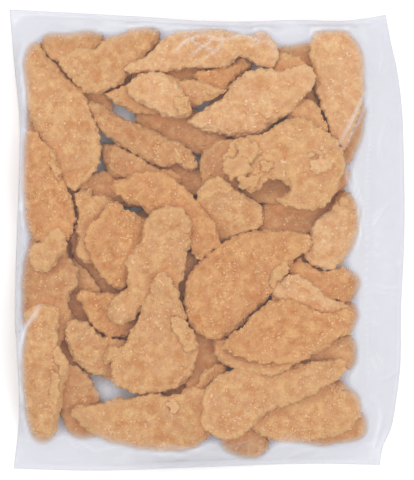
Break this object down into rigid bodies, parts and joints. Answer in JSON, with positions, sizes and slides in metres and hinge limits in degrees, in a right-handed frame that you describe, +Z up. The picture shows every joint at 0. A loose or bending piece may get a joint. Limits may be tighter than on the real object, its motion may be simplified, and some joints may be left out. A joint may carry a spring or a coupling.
{
  "type": "bag of chicken tenders",
  "caption": "Clear sealed bag of frozen breaded chicken tenders, lying flat with its welded ends at top and bottom.",
  "frame": {"origin": "middle of the underside, which lies on the table", "axes": "+Z up out of the shown face, +Y along the bag towards its wider welded end, +X across the bag towards its empty margin"},
  "size_m": [0.3178, 0.3706, 0.0434],
  "materials": {
    "film": "thin clear polyethylene film, slightly milky, soft wrinkles",
    "breading": "frozen fried breading, matte and crumbly, golden tan"
  },
  "bodies": {
    "root": {"bag": "film"}
  },
  "joints": []
}
